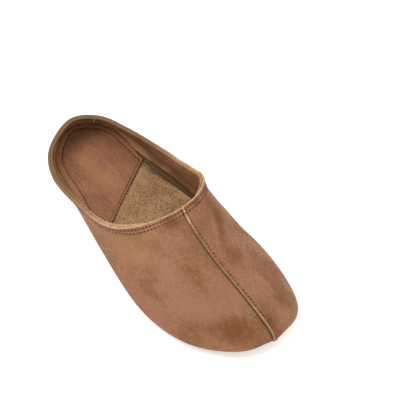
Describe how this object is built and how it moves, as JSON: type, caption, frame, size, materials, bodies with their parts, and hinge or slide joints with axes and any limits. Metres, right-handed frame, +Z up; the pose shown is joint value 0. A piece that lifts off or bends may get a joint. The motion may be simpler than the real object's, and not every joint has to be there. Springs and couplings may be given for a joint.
{
  "type": "babouche slipper",
  "caption": "Right-foot leather babouche: a low-backed slip-on slipper with a lapped centre-front seam, flat suede sole, open collar and stitched heel pad.",
  "frame": {"origin": "centre of the bounding box's bottom, on the flat underside of the sole", "axes": "+X towards the toe, +Y towards the medial side (the wearer's left, as this is a right shoe), +Z up"},
  "size_m": [0.2602, 0.1078, 0.0571],
  "materials": {
    "leather": "smooth oiled tan leather, matt to satin",
    "suede": "olive-tan suede, nap out",
    "pad": "smooth reddish-brown leather, satin"
  },
  "bodies": {
    "root": {"outsole": "suede", "upper": "leather", "collar_facing": "leather", "insole": "suede", "heel_pad": "pad"}
  },
  "joints": []
}
